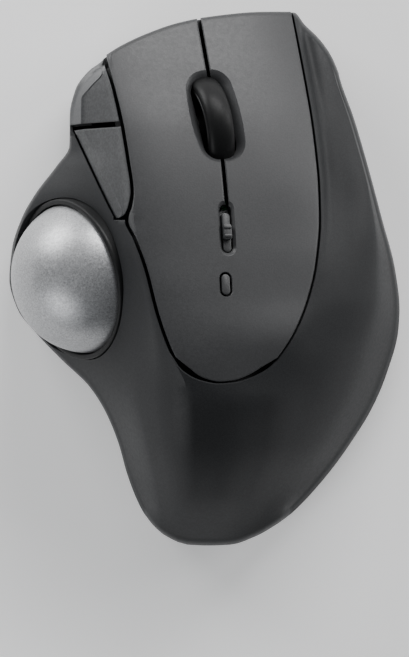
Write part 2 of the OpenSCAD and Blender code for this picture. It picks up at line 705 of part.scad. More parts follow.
module battery_door() {
    door_w = door_box[2] - door_box[0];
    door_l = door_box[3] - door_box[1];
    color(shell_grey) translate([door_box[0] + door_w / 2, door_box[1] + door_l / 2, 0])
        difference() {
            rounded_prism(door_w - 0.6, door_l - 0.6, 2.7, foot_h, base_t - 0.1);
            for (i = [-2 : 2])
                translate([0, -door_l / 2 + 8 + i * 1.6, 0]) block(12, 0.7, foot_h - 1, 1.4);
        }
}
module usb_receiver() {
    translate([receiver_at[0], receiver_at[1], 0]) {
        color(steel) translate([0, 3.2, 0]) block(12, 12.2, wall_base + 0.6, 4.5);
        color(black) translate([0, -6, 0]) block(12.8, 6.2, wall_base + 0.3, 5.2);
    }
}

power_travel = 1.6;
module power_slider() {
    color([0.75, 0.3, 0.15]) translate([power_at[0] - power_travel / 2, power_at[1], 0]) {
        rounded_prism(3, 2.6, 1.2, foot_h + 0.2, base_t);
        block(8.6, 5.4, wall_base + 0.15, 0.8);
        block(1.2, 1.6, wall_base + 0.5, 1.8);
    }
}
module power_switch() {
    color(steel) translate([power_at[0], power_at[1], 0]) difference() {
        block(8, 4, wall_base + 1.2, board_z - wall_base - 1.2);
        block(4.4, 2.2, wall_base, 3);
    }
}
module pair_button() {
    color(key_grey) translate([pair_at[0], pair_at[1], 0]) {
        translate([0, 0, foot_h + 0.2]) cylinder(h = 3.4, r = 2);
        translate([0, 0, wall_base + 0.45]) cylinder(h = 0.8, r = 3.2);
    }
}
module hang_at_pair() {
    translate([pair_at[0], pair_at[1], board_z]) mirror([0, 0, 1]) children();
}
pair_h = board_z - foot_h - 3.6 - 0.9;
module pair_switch() {
    color(black) hang_at_pair() tact_body(5, pair_h, 1.3);
}
module pair_plunger() {
    color([0.9, 0.9, 0.88]) hang_at_pair() tact_plunger(pair_h, 0.62, 1.2);
}

module feet() {
    color(black) {
        for (p = [[-24, 40], [20, 50], [36, 6], [-39, -3], [15, -50.5]])
            translate([p[0], p[1], 0]) cylinder(h = foot_h, r = 3.2);
    }
}
module board_screws() {
    color(steel) for (p = standoffs) translate([p[0], p[1], board_top]) {
        cylinder(h = 1.1, r = 2);
        translate([0, 0, -5]) cylinder(h = 5.2, r = 0.85);
    }
}
module case_screws() {
    color(steel) for (p = case_posts) translate([p[0], p[1], foot_h + 0.1]) {
        cylinder(h = 1, r = 2.2);
        cylinder(h = 8, r = 0.9);
    }
}

base_plate();
main_shell();
top_plate();
left_key();
right_key();
forward_key();
back_key();
trackball();
ball_ring();
ball_socket();
support_bearings();
sensor_lens();
sensor_chip();
sensor_board();
wheel_tyre();
wheel_hub();
wheel_axle();
wheel_carriage();
wheel_encoder();
carriage_spring();
speed_slider();
speed_switch();
mode_button();
mode_plunger();
mode_switch();
status_led();
upper_board();
main_board();
radio_chip();
left_switch();
left_plunger();
right_switch();
right_plunger();
click_switch();
click_plunger();
side_bracket();
side_board();
forward_switch();
forward_plunger();
back_switch();
back_plunger();
battery();
battery_spring();
battery_contact();
battery_door();
usb_receiver();
power_slider();
power_switch();
pair_button();
pair_plunger();
pair_switch();
feet();
board_screws();
case_screws();
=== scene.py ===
import bpy
import json
import math
from mathutils import Matrix, Vector


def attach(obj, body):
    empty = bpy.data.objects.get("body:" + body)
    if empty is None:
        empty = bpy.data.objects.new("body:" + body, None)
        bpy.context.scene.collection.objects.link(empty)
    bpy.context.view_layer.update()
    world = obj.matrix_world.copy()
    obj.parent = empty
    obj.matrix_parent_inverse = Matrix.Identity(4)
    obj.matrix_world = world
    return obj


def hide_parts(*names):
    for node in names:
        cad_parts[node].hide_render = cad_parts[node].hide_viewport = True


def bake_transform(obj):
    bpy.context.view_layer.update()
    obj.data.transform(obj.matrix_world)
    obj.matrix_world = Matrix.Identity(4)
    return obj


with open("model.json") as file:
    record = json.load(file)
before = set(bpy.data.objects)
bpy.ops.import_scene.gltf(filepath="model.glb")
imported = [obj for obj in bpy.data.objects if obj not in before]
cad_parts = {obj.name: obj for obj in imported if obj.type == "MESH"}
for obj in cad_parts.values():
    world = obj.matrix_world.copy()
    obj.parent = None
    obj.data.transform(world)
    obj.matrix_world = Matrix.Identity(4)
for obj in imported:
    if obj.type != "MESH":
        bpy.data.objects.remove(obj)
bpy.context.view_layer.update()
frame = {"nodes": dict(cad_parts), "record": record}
mm = 0.001
weld = 0.000002  # points closer than this are one
print("frame loaded:", len(frame["nodes"]), "nodes")


# smooth curves through a few points

def knotSlope(curve, k):
    def step(i):
        return (curve[i + 1][1] - curve[i][1]) / (curve[i + 1][0] - curve[i][0])
    if k == 0:
        return step(0)
    if k == len(curve) - 1:
        return step(k - 1)
    a, b = step(k - 1), step(k)
    return 0 if a * b <= 0 else 2 * a * b / (a + b)


def smooth(curve, x):
    k = 0
    while k < len(curve) - 2 and x >= curve[k + 1][0]:
        k += 1
    (x0, a), (x1, b) = curve[k], curve[k + 1]
    w = x1 - x0
    t = max(0.0, min(1.0, (x - x0) / w))
    bend = w * (knotSlope(curve, k) * t * (1 - t) ** 2 - knotSlope(curve, k + 1) * t * t * (1 - t))
    return a * (1 + 2 * t) * (1 - t) ** 2 + b * t * t * (3 - 2 * t) + bend


def mix(a, b, t):
    return a + (b - a) * t


def shift(curve, d):
    return [(p[0], p[1] + d) for p in curve]


def clip(curve, a, b, n=12):
    return [(mix(a, b, i / n), smooth(curve, mix(a, b, i / n))) for i in range(n + 1)]


# the body's form, in mm: outlines in plan and sections from rear to front

bodyForm = {
    "wallBulge": 0.022,
    "wallBase": 2.6,
    "wallWidest": 8,
    "skin": 2.2,
    "cornerY": -54.5,
    "left": [(-62, -7), (-54.5, -14.1), (-46, -17.8), (-38, -20.1), (-31, -23), (-25, -26.8),
             (-19, -33), (-13, -38.8), (-7, -43.5), (0, -45.4), (7, -44.8), (14, -42.6),
             (20, -39.2), (26, -34.6), (31, -31.4), (38, -31.3), (44, -29.9), (48, -27),
             (51, -23.6), (60, -27)],
    "right": [(-62, 10.5), (-54.5, 20.3), (-46, 28.2), (-38, 34.1), (-30, 39), (-22, 42.4),
              (-12, 45.1), (-7, 45.4), (2, 44.4), (14, 41.3), (26, 38.1), (37, 34.9),
              (48, 31.2), (60, 29.5)],
    "front": [(-23.6, 51), (-19.6, 53.7), (-13.9, 56.5), (-6.2, 59.2), (2, 60.8), (13.2, 61.9),
              (20.8, 62), (23.3, 59.2), (26.1, 56.5), (28.4, 53.7), (30, 50.9), (31.2, 48)],
    "rear": [(-14.1, -54.5), (-12, -57.2), (-8.8, -59.9), (-3.9, -61.8), (1, -62), (6, -61.8),
             (11.8, -59.9), (16.6, -57.2), (20.3, -54.5)],
    # y, left wall height, then (x, z) of shoulder, crest, middle, right seam, step foot and
    # crease, then right wall height
    "sections": [
        (-62, 11, (-9, 11.5), (-4, 12), (1, 12), (6.5, 11.8), (11, 11.5), (15, 11.2), 11),
        (-50, 11, (-10.5, 23), (-3.5, 30), (3, 29.6), (10.5, 25.5), (15, 21.5), (19.5, 16.5), 11),
        (-38, 12, (-13, 32), (-3.5, 41), (4, 40), (14, 35), (20.5, 29.5), (27, 22), 11.5),
        (-26, 15, (-15, 36), (-4, 46.6), (4, 45.6), (15, 40.8), (24, 33.8), (33, 24), 11),
        (-16, 15.5, (-13, 43), (-8.5, 48.3), (4, 46), (19, 40.4), (25, 36.2), (36, 25.5), 11),
        (-4, 11, (-14.2, 45), (-11.9, 47.6), (4, 44.4), (23.9, 36.8), (28.5, 34.2), (39.4, 24.5), 12),
        (8, 14.5, (-17.4, 43), (-15, 46), (4.5, 42), (26.2, 33.8), (29.8, 31.4), (39.6, 24), 16),
        (20, 21.8, (-18.8, 41), (-16.4, 44), (4.5, 39.3), (26.5, 31), (29.4, 28), (38, 23.2), 19),
        (34, 24.5, (-20.4, 38), (-18.4, 40.4), (3.5, 35.6), (25.1, 27.4), (28.2, 24.2), (34.3, 21), 18.5),
        (48, 27.5, (-22.9, 33.3), (-21.6, 35), (2, 30.6), (22.8, 22.6), (25.5, 19.4), (29.8, 18), 16.5),
        (60, 27.5, (-22.3, 28), (-21.4, 29), (1, 25.2), (20.4, 17.6), (22.6, 14.8), (26, 13.6), 12),
        (64, 27.5, (-22.1, 26.4), (-21.2, 27), (0.7, 23.4), (19.7, 16), (21.7, 13.3), (24.8, 12.2), 11)],
}
edgeShare = 1 - bodyForm["wallBulge"]
lineCurvesX = [[(s[0], s[k][0]) for s in bodyForm["sections"]] for k in range(2, 8)]
lineCurvesZ = [[(s[0], s[k] if k in (1, 8) else s[k][1]) for s in bodyForm["sections"]]
               for k in range(1, 9)]
sectionCache = {}


def lineX(k, y):
    if k in (0, 7):  # straight back past the rear corners
        side = bodyForm["left" if k == 0 else "right"]
        return smooth(side, max(y / edgeShare, bodyForm["cornerY"])) * edgeShare
    return smooth(lineCurvesX[k - 1], y)


def section(y):
    key = round(y, 3)
    if key not in sectionCache:
        sectionCache[key] = [(lineX(k, y), smooth(lineCurvesZ[k], y)) for k in range(8)]
    return sectionCache[key]


def topZ(x, y):
    return smooth(section(y), x)


def surfaceFrame(x, y):
    # x across the slope, z along the surface's normal
    a = Vector((6, 0, topZ(x + 3, y) - topZ(x - 3, y))).normalized()
    b = Vector((0, 6, topZ(x, y + 3) - topZ(x, y - 3))).normalized()
    n = a.cross(b).normalized()
    c = n.cross(a)
    m = Matrix((a, c, n)).transposed().to_4x4()
    m.translation = Vector((x, y, topZ(x, y)))
    return m


# modelling helpers

def deselectAll():
    if bpy.context.mode != "OBJECT":
        bpy.ops.object.mode_set(mode="OBJECT")
    bpy.ops.object.select_all(action="DESELECT")


def loft(name, rings, closedRing=True, capped=True):
    # a skin over rows of points, welded, with its ends filled
    deselectAll()
    across = len(rings[0]) + (1 if closedRing else 0)
    bpy.ops.mesh.primitive_grid_add(x_subdivisions=across - 1, y_subdivisions=len(rings) - 1, size=1)
    piece = bpy.context.object
    piece.name = name
    verts = piece.data.vertices
    for j, ring in enumerate(rings):
        for i in range(across):
            p = ring[i % len(ring)]
            verts[j * across + i].co = (p[0] * mm, p[1] * mm, p[2] * mm)
    bpy.ops.object.mode_set(mode="EDIT")
    bpy.ops.mesh.select_all(action="SELECT")
    bpy.ops.mesh.remove_doubles(threshold=weld)
    if capped:
        bpy.ops.mesh.select_all(action="SELECT")
        bpy.ops.mesh.fill_holes(sides=0)
    bpy.ops.mesh.select_all(action="SELECT")
    bpy.ops.mesh.normals_make_consistent(inside=False)
    bpy.ops.object.mode_set(mode="OBJECT")
    return piece


def along(a, b, count):
    return [mix(a, b, i / count) for i in range(count + 1)]


def edgeSteps(length, cell, edges):
    # positions from 0 to length, close together near both edges
    near = [e for e in edges if e < length * 0.45]
    inner = along(near[-1], length - near[-1], max(2, round((length - 2 * near[-1]) / cell)))
    return near[:-1] + inner + [length - e for e in reversed(near[:-1])]


def rounding(d, r):
    # how far a round of radius r has dropped at d from the edge
    return 0 if d >= r else r - math.sqrt(max(0.0, r * r - (r - d) ** 2))


def skinPanel(name, look, left, right, rear, front):
    # a panel that lies on the body between four seams, with its edges turned down
    rearY, frontY = rear[0][1], front[0][1]
    width = max(smooth(right, y) - smooth(left, y) for y in (rearY, mix(rearY, frontY, 0.5)))
    length = max(b[1] for b in front) - min(a[1] for a in rear)
    us = look.get("columns") or [d / width for d in edgeSteps(width, look["cell"], look["edges"])]
    vs = [d / length for d in edgeSteps(length, look["cell"], look["edges"])]
    rings = []
    for v in vs:
        top, under = [], []
        for u in us:
            y0 = smooth(rear, mix(rear[0][0], rear[-1][0], u))
            y1 = smooth(front, mix(front[0][0], front[-1][0], u))
            y = mix(y0, y1, v)
            xl, xr = smooth(left, y), smooth(right, y)
            x = mix(xl, xr, u)
            if "crease" in look:
                share = look["creaseShare"]
                xc = min(look["crease"](y), mix(xl, xr, look["creaseLimit"]))
                x = mix(xl, xc, u / share) if u < share else mix(xc, xr, (u - share) / (1 - share))
            gaps = [(x - xl, look["roundLeft"](y)), (xr - x, look["roundRight"](y)),
                    (y - y0, look["roundRear"]), (y1 - y, look["roundFront"])]
            drop = max(rounding(d, r) for d, r in gaps)
            if "relief" in look:
                drop += look["relief"](u)
            depth = look["thick"]
            if min(d for d, r in gaps if r) < look["lipWidth"]:
                depth = look["frontLip"] if y1 - y < look["lipWidth"] else look["lip"]
            h = topZ(x, y)
            top.append((x, y, h - drop))
            under.append((x, y, h - depth))
        rings.append(top + under[::-1])
    return loft(name, rings)


# seams of the top pieces: x against y, and y against x

seams = {
    "groove": 0.8,
    "deckLeft": [(-20.5, -5.2), (-18, -7), (-15.5, -8.2), (-8, -10.8), (2, -13.4), (9, -15.9),
                 (13.4, -17.9), (14.6, -17.7), (16.5, -17), (19.6, -16.6), (27.5, -17.6),
                 (35.8, -19), (44, -21), (51.2, -23)],
    "deckRight": [(-20.5, 14.9), (-18.3, 16.9), (-11.9, 21), (-4.5, 23.9), (3.3, 25.7), (13.5, 26.6),
                  (21.6, 26.4), (29.4, 25.7), (36.7, 24.8), (44.4, 23.5), (50.5, 22.4),
                  (62, 20.2), (66, 19.4)],
    "deckRear": [(-8, -16.2), (-7, -18.2), (-5.3, -20.7), (-1.1, -23.1), (3.2, -23.9), (7, -23.6),
                 (11, -22.4), (14.4, -20.6), (16.7, -18.4), (18.2, -16.2)],
    "rearSpan": (-7, 16.7),
    "split": [(-24, 5.15), (16.6, 5.15), (19.6, 4.9), (27.6, 4.1), (47.5, 0.9), (60, -1.3),
              (66, -2.3)],
    "splitX": 5.15,
    "splitFrom": 16.6,
    "sideGap": [(-31.5, 34.7), (-19, 35.4)],
    "backLeft": [(13.9, -20.3), (16, -21.4), (34.3, -30.1)],
    "backRight": [(13.9, -19.6), (14.8, -18.3), (16.5, -17.6), (19.6, -17), (27.5, -18),
                  (35.8, -19.4)],
    "forwardRight": [(35, -19.3), (44, -21.4), (50.4, -23.5)],
}
halfGap = seams["groove"] / 2


def splitEdge(side):
    # the halves touch behind the slot and part along the groove ahead of it
    line = seams["split"]
    return [(y, smooth(line, y) + (side * halfGap if y > seams["splitFrom"] else 0))
            for y in [-24, 5, 16.5, 16.7, 19.6, 23, 27.6, 34, 41, 47.5, 54, 60, 66]]


# cutting tools for openings that follow the surface

def roundedOutline(w, l, r, steps=10):
    points = []
    for cx, cy, start in ((1, 1, 0), (-1, 1, 90), (-1, -1, 180), (1, -1, 270)):
        for i in range(steps + 1):
            a = math.radians(start + 90 * i / steps)
            points.append((cx * (w / 2 - r) + r * math.cos(a), cy * (l / 2 - r) + r * math.sin(a)))
    return points


def stackAt(name, matrix, levels, push=(0, 0)):
    # levels of width, length, corner and height; push moves the wider ones sideways
    rings = []
    narrow, wide = levels[0][0], levels[-1][0]
    for w, l, r, z in levels:
        t = (w - narrow) / max(wide - narrow, 0.01)
        rings.append([matrix @ Vector((x + push[0] * t, y + push[1] * t, z))
                      for x, y in roundedOutline(w, l, r)])
    return loft(name, rings)


def drapedCutter(name, outline, levels):
    # a plan outline, pushed out by each level's offset, at each level's height over the surface
    n = len(outline)
    normals = []
    for i in range(n):
        ax, ay = outline[i - 1]
        bx, by = outline[(i + 1) % n]
        d = math.hypot(bx - ax, by - ay)
        normals.append(((by - ay) / d, -(bx - ax) / d))
    area = sum(outline[i - 1][0] * outline[i][1] - outline[i][0] * outline[i - 1][1] for i in range(n))
    turn = 1 if area > 0 else -1
    rings = []
    for offset, dz in levels:
        rings.append([(p[0] + turn * offset * q[0], p[1] + turn * offset * q[1], topZ(p[0], p[1]) + dz)
                      for p, q in zip(outline, normals)])
    return loft(name, rings)


def makeActive(piece):
    deselectAll()
    bpy.context.view_layer.objects.active = piece
    piece.select_set(True)


def cut(piece, cutters):
    for cutter in cutters:
        makeActive(piece)
        tool = piece.modifiers.new("cut", "BOOLEAN")
        tool.operation = "DIFFERENCE"
        tool.solver = "MANIFOLD"
        tool.object = cutter
        bpy.ops.object.modifier_apply(modifier="cut")
        bpy.data.objects.remove(cutter)


def smoothShade(piece, angle=32):
    makeActive(piece)
    bpy.ops.object.shade_smooth_by_angle(angle=math.radians(angle))


# the deck: plate and main keys, one moulding, built as two halves that meet behind the slot

deckLook = {
    "cell": 1.3,
    "edges": [0, 0.05, 0.15, 0.3, 0.5, 1.0, 1.2],
    "roundLeft": 0.4,
    "roundRight": 0.3,
    "roundRear": 0.25,
    "roundFront": 0.9,
    "thick": 2.2,
    "lip": 3.4,
    "frontLip": 5.4,
    "lipWidth": 1.1,
    "gapLeft": 0.35,
    "gapRight": 0.18,
    "gapRear": 0.16,
    "splitRound": 0.35,
    "leftFront": (-22.6, -1.7),     # the stretch of the front outline that each half takes
    "rightFront": (-0.9, 19.9),
    "shadeAngle": 18,
}
wellLook = {
    "at": (2.6, 37.4),
    "turn": 8.7,
    "inner": (7.9, 19.6, 3.4),
    "chamfer": (12.2, 25.2, 5.4),
    "push": (0.15, 0.9),
    # share of the way out to the chamfer's edge, and height
    "shoulder": [(0, -1.85), (0.21, -1.05), (0.44, -0.58), (0.72, -0.23), (1, 0), (1.9, 0.7)],
}
slotLook = {
    "at": (5.2, 11.6),
    "inner": (2.8, 11.4, 1.39),
    "chamfer": (4.0, 13.4, 1.99),
    "shoulder": [(0, -0.7), (0.5, -0.25), (1, 0), (2.2, 0.5)],
}
pillLook = {
    "at": (4.95, -1.35),
    "inner": (2.9, 5.7, 1.44),
    "chamfer": (3.2, 6.0, 1.59),
    "shoulder": [(0, -0.15), (1, 0), (4, 0.45)],
    # the button in it: width, length, corner, top and edge, then how deep it goes
    "cap": ((2.0, 4.8, 0.99, 0.02, 0.22), -3.4),
    "flange": ((3.8, 6.6, 0.4, -2.9, 0.1), -3.6),
}
cutterReach = (-6, 7)   # how far an opening's cutter goes below and above the surface


def openingCutter(name, look):
    turn = Matrix.Rotation(math.radians(look.get("turn", 0)), 4, "Z")
    below, above = cutterReach
    levels = [(*look["inner"], below)]
    for t, z in look["shoulder"] + [(look["shoulder"][-1][0], above)]:
        levels.append((*[mix(i, c, t) for i, c in zip(look["inner"], look["chamfer"])], z))
    return stackAt(name, surfaceFrame(*look["at"]) @ turn, levels, look.get("push", (0, 0)))


def makeDeck():
    look = deckLook

    def splitRound(y):
        return look["splitRound"] if y > seams["splitFrom"] else 0
    leftLook = dict(look, roundLeft=lambda y: look["roundLeft"], roundRight=splitRound)
    rightLook = dict(look, roundLeft=splitRound, roundRight=lambda y: look["roundRight"])
    rear = shift(seams["deckRear"], look["gapRear"])
    rearLeft, rearRight = seams["rearSpan"]
    left = skinPanel("deck_left_half", leftLook,
                     shift(seams["deckLeft"], look["gapLeft"]), splitEdge(-1),
                     clip(rear, rearLeft, seams["splitX"]), clip(bodyForm["front"], *look["leftFront"]))
    right = skinPanel("deck_right_half", rightLook,
                      splitEdge(1), shift(seams["deckRight"], -look["gapRight"]),
                      clip(rear, seams["splitX"], rearRight), clip(bodyForm["front"], *look["rightFront"]))
    for half in (left, right):
        cut(half, [openingCutter("well", wellLook), openingCutter("slot", slotLook),
                   openingCutter("pill", pillLook)])
        smoothShade(half, look["shadeAngle"])
    return left, right


# side keys

sideKeyLook = {
    "cell": 0.7,
    "edges": [0, 0.06, 0.2, 0.4, 0.7, 1.1],
    "columns": [0, 0.01, 0.03, 0.06, 0.1, 0.16, 0.22, 0.28, 0.34, 0.385, 0.4, 0.415, 0.43, 0.45,
                0.5, 0.56, 0.62, 0.68, 0.74, 0.8, 0.85, 0.89, 0.92, 0.95, 0.97, 0.985, 0.995, 1],
    "round": 0.4,
    "roundRear": 0.45,
    "roundFront": 0.45,
    "thick": 3.6,
    "lipWidth": 0,
    "creaseShare": 0.4,     # share of the columns that the outer band takes
    "creaseLimit": 0.75,    # the band never takes more of the width than this
    "sinkShare": 0.05,
    "shadeAngle": 25,
    "forwardCrease": [(34, -28.6), (41.5, -28.5), (44, -26.7), (47.7, -23.2), (52, -21)],
    "forwardRound": 0.9,
    "forwardFront": [(-24.6, 50.4), (-23.5, 50.4)],
    "forwardInset": 0.1,    # how far its edge stands in from the body's outline
    "forwardGap": 0.4,      # added to its side of the groove
    "forwardBand": 1.1,     # how far the outer band turns down
    "forwardSink": 0.35,    # how far the inner face lies below the crease
    "backRear": [(-20.3, 13.9), (-19.6, 13.9)],
    "backFacet": 2.2,
    "backBand": 0.6,
    "backSink": 0.12,
}


def relief(band, sink):
    share, run = sideKeyLook["creaseShare"], sideKeyLook["sinkShare"]

    def depth(u):
        t = min(1.0, max(0.0, (u - share) / run))
        return band * max(0.0, 1 - u / share) + sink * t * t * (3 - 2 * t)
    return depth


def makeSideKeys():
    look = sideKeyLook
    forwardLook = dict(look, roundLeft=lambda y: look["forwardRound"], roundRight=lambda y: look["round"],
                       crease=lambda y: smooth(look["forwardCrease"], y),
                       relief=relief(look["forwardBand"], look["forwardSink"]))
    forward = skinPanel("forward_key_cap", forwardLook,
                        shift(bodyForm["left"], look["forwardInset"]), seams["forwardRight"],
                        shift(seams["sideGap"], halfGap + look["forwardGap"]), look["forwardFront"])
    backLook = dict(look, roundLeft=lambda y: look["round"], roundRight=lambda y: look["round"],
                    crease=lambda y: smooth(seams["backLeft"], y) + look["backFacet"],
                    relief=relief(look["backBand"], look["backSink"]))
    back = skinPanel("back_key_cap", backLook, seams["backLeft"], seams["backRight"],
                     look["backRear"], shift(seams["sideGap"], -halfGap))
    for key in (forward, back):
        smoothShade(key, look["shadeAngle"])
    return forward, back


# main shell

shellLook = {
    # whole numbers are the body's lines from left to right, with more rows near the grooves
    "columns": ([0, 0.08, 0.16, 0.25, 0.33, 0.42, 0.5, 0.58, 0.67, 0.75, 0.83, 0.92, 1, 1.3, 1.6]
                + along(2, 4, 10) + along(4.1, 5.3, 12)
                + [5.45, 5.6, 5.75, 5.9, 6, 6.15, 6.3, 6.5, 6.7, 6.85, 7]),
    "rows": 110,
    "lip": 1.0,
    "step": 0.8,
    "stepWidth": 0.7,
    "stepEnds": 3.4,
    "stepFade": (2, 24),
    "innerShare": (0.953, 0.962),
    "skinShare": 0.3,
    # pocket walls: offset out from the seam, and height over the surface
    "pocketWall": [(0, -4.5), (0, -0.45), (0.1, -0.2), (0.28, -0.02), (0.6, 0.25), (1.2, 1.2), (1.2, 14)],
    "sideFloor": -5.1,
    "sideUnder": 1.6,       # how far the side pockets run on under the deck
    "deckFront": [(-25.5, 65.5), (-10, 66), (10, 66), (20.2, 65.5)],
    "forwardRear": [(-34, 33), (-19, 33.6)],
    "forwardFront": [(-29, 52), (-21, 52)],
    "forwardOut": 3,
    "backRear": [(-20.9, 13.5), (-18, 13.5)],
    "backFront": [(-30.9, 35.2), (-17.4, 35.8)],
    "shadeAngle": 30,
}


def columnX(u, y):
    k = min(int(u), 6)
    return mix(lineX(k, y), lineX(k + 1, y), u - k)


def columnEnd(u, outline, y):
    # where a lengthwise line meets the outline across it
    if u in (0, 7):
        return outline[0 if u == 0 else -1][1] * edgeShare
    for turn in range(40):
        y = mix(y, smooth(outline, columnX(u, y) / edgeShare) * edgeShare, 0.6)
    return y


def joinPieces(parts):
    makeActive(parts[0])
    for part in parts[1:]:
        part.select_set(True)
    bpy.ops.object.join()
    bpy.ops.object.mode_set(mode="EDIT")
    bpy.ops.mesh.select_all(action="SELECT")
    bpy.ops.mesh.remove_doubles(threshold=weld)
    bpy.ops.mesh.select_all(action="SELECT")
    bpy.ops.mesh.normals_make_consistent(inside=False)
    bpy.ops.object.mode_set(mode="OBJECT")
    return parts[0]


def fall(t):
    t = max(0.0, min(1.0, t))
    return t * t * (3 - 2 * t)


def stepDown(x, y):
    # the valley that runs beside the right-hand lip and fades towards the palm
    look = shellLook
    d = x - smooth(seams["deckRight"], y) - look["lip"]
    fadeFrom, fadeTo = look["stepFade"]
    fade = max(0.0, min(1.0, (y - fadeFrom) / (fadeTo - fadeFrom)))
    back = (look["stepEnds"] - d) / (look["stepEnds"] - look["stepWidth"])
    return look["step"] * fade * fall(d / look["stepWidth"]) * fall(back)


def wallLevels():
    # share of the rim's outline and height, from the rim down to the base
    base, widest, bulge = bodyForm["wallBase"], bodyForm["wallWidest"], bodyForm["wallBulge"]
    levels = [(1 + bulge * 0.25, lambda z: z - 0.35), (1 + bulge * 0.6, lambda z: z - 1.4)]
    for t in (0.2, 0.4, 0.65):
        levels.append((1 + bulge * (0.6 + 0.6 * t), lambda z, t=t: mix(z - 1.4, widest, t)))
    levels.append((1 / edgeShare, lambda z: widest))
    levels.append((1 / edgeShare * 0.998, lambda z: mix(base, widest, 0.6)))
    levels.append((1.008, lambda z: mix(base, widest, 0.2)))
    levels.append((1, lambda z: base))
    return levels


def inward(p):
    shareX, shareY = shellLook["innerShare"]
    room = (p[2] - bodyForm["wallBase"]) * shellLook["skinShare"]
    return (p[0] * shareX, p[1] * shareY, p[2] - min(bodyForm["skin"], room))


def makeShellBody():
    rows = shellLook["rows"]
    grid = []
    for u in shellLook["columns"]:
        rear, front = columnEnd(u, bodyForm["rear"], -60), columnEnd(u, bodyForm["front"], 52)
        line = []
        for i in range(rows + 1):
            y = mix(rear, front, (1 - math.cos(math.pi * i / rows)) / 4 + i / rows / 2)
            x = columnX(u, y)
            line.append((x, y, topZ(x, y) - stepDown(x, y)))
        grid.append(line)
    rim = (grid[0][:-1] + [line[-1] for line in grid[:-1]] + grid[-1][:0:-1]
           + [line[0] for line in grid[:0:-1]])
    walls = [rim] + [[(x * share, y * share, height(z)) for x, y, z in rim]
                     for share, height in wallLevels()]
    skin = walls + [[inward(p) for p in ring] for ring in reversed(walls)]
    hollow = [[inward(p) for p in line] for line in grid]
    outer = loft("shell_body", grid, closedRing=False, capped=False)
    inner = loft("shell_inside", hollow, closedRing=False, capped=False)
    return joinPieces([outer, inner, loft("shell_wall", skin, capped=False)])


def outlineOf(rear, front, left, right, steps=60):
    # a closed plan outline from four curves, going round from the rear left corner
    lines = [[(x, y) for x, y in rear]]
    lines.append([(smooth(right, y), y) for y in along(rear[-1][1], front[-1][1], steps)])
    lines.append([(x, y) for x, y in reversed(front)])
    lines.append([(smooth(left, y), y) for y in along(front[0][1], rear[0][1], steps)])
    return [p for line in lines for p in line[:-1]]


ballLook = {
    "at": (-26.8, 0.8, 22.5),
    "radius": 18,
    "lean": 54,
    "turn": 194,
    # the hole for it in the shell: radius against height along the lean
    "hole": [(0.001, -8), (19.05, -8), (19.05, 3), (19.25, 6), (19.25, 26), (0.001, 26)],
    "cuts": 47,
}


def onBall():
    return (Matrix.Translation(ballLook["at"]) @ Matrix.Rotation(math.radians(ballLook["turn"]), 4, "Z")
            @ Matrix.Rotation(math.radians(ballLook["lean"]), 4, "Y"))


def turned(name, profile, matrix, steps=128, closed=True):
    # a profile of radius against height, turned about the matrix's z axis
    rings = []
    for r, h in profile + ([profile[0]] if closed else []):
        rings.append([matrix @ Vector((r * math.cos(2 * math.pi * i / steps),
                                       r * math.sin(2 * math.pi * i / steps), h)) for i in range(steps)])
    return loft(name, rings, capped=not closed)


ledgeLook = {
    "under": 1.2,
    "reach": 1.6,
    "overlap": -0.02,
    # heights against the surface
    "top": -1.4,
    "shelf": -4.35,
    "bottom": -4.9,
    "least": 0.4,
    # beside the side keys there is no wall; both ends stop short of the front
    "wallEnds": 12.5,
    "leftEnds": 48.5,
    "rightEnds": 60.0,
}


def makeLedge(left, right, rear):
    # the shelf that runs under the groove on the left, rear and right of the deck
    look = ledgeLook
    path = [(smooth(left, y), y) for y in along(look["leftEnds"], rear[0][1], 60)] + rear[1:-1]
    path += [(smooth(right, y), y) for y in along(rear[-1][1], look["rightEnds"], 70)]
    out, edge, reach, shelf = -look["under"], look["overlap"], look["reach"], look["shelf"]
    rings = []
    for i, (x, y) in enumerate(path):
        a, b = path[max(0, i - 1)], path[min(len(path) - 1, i + 1)]
        d = math.hypot(b[0] - a[0], b[1] - a[1])
        nx, ny = -(b[1] - a[1]) / d, (b[0] - a[0]) / d
        top = shelf if x < 0 and y > look["wallEnds"] else look["top"]
        base = topZ(x, y)
        sunk = min(base, topZ(x + nx * out, y + ny * out)) + top
        low = base + look["bottom"]
        profile = ((out, sunk), (edge, base + top), (edge, base + shelf), (reach, base + shelf),
                   (reach, low), (out, min(low, sunk - look["least"])))
        rings.append([(x + nx * o, y + ny * o, z) for o, z in profile])
    return loft("ledge", rings)


def makeShell():
    look = shellLook
    shell = makeShellBody()
    rear = clip(shift(seams["deckRear"], -deckLook["gapRear"]), *seams["rearSpan"], 24)
    left, right = shift(seams["deckLeft"], -halfGap), shift(seams["deckRight"], deckLook["gapRight"])
    deck = outlineOf(rear, look["deckFront"], left, right)
    forward = outlineOf(look["forwardRear"], look["forwardFront"],
                        shift(bodyForm["left"], -look["forwardOut"]),
                        shift(seams["forwardRight"], look["sideUnder"]), 24)
    back = outlineOf(look["backRear"], look["backFront"],
                     shift(seams["backLeft"], -halfGap), shift(seams["backRight"], look["sideUnder"]), 30)
    sideWall = [(0, look["sideFloor"])] + look["pocketWall"][1:]
    ball = turned("ball_hole", ballLook["hole"], onBall(), 160, False)
    cut(shell, [drapedCutter("deck_pocket", deck, look["pocketWall"]),
                drapedCutter("forward_pocket", forward, sideWall),
                drapedCutter("back_pocket", back, sideWall), ball])
    shell = joinPieces([shell, makeLedge(left, right, rear)])
    smoothShade(shell, look["shadeAngle"])
    return shell


# trackball, its ring and the wheel

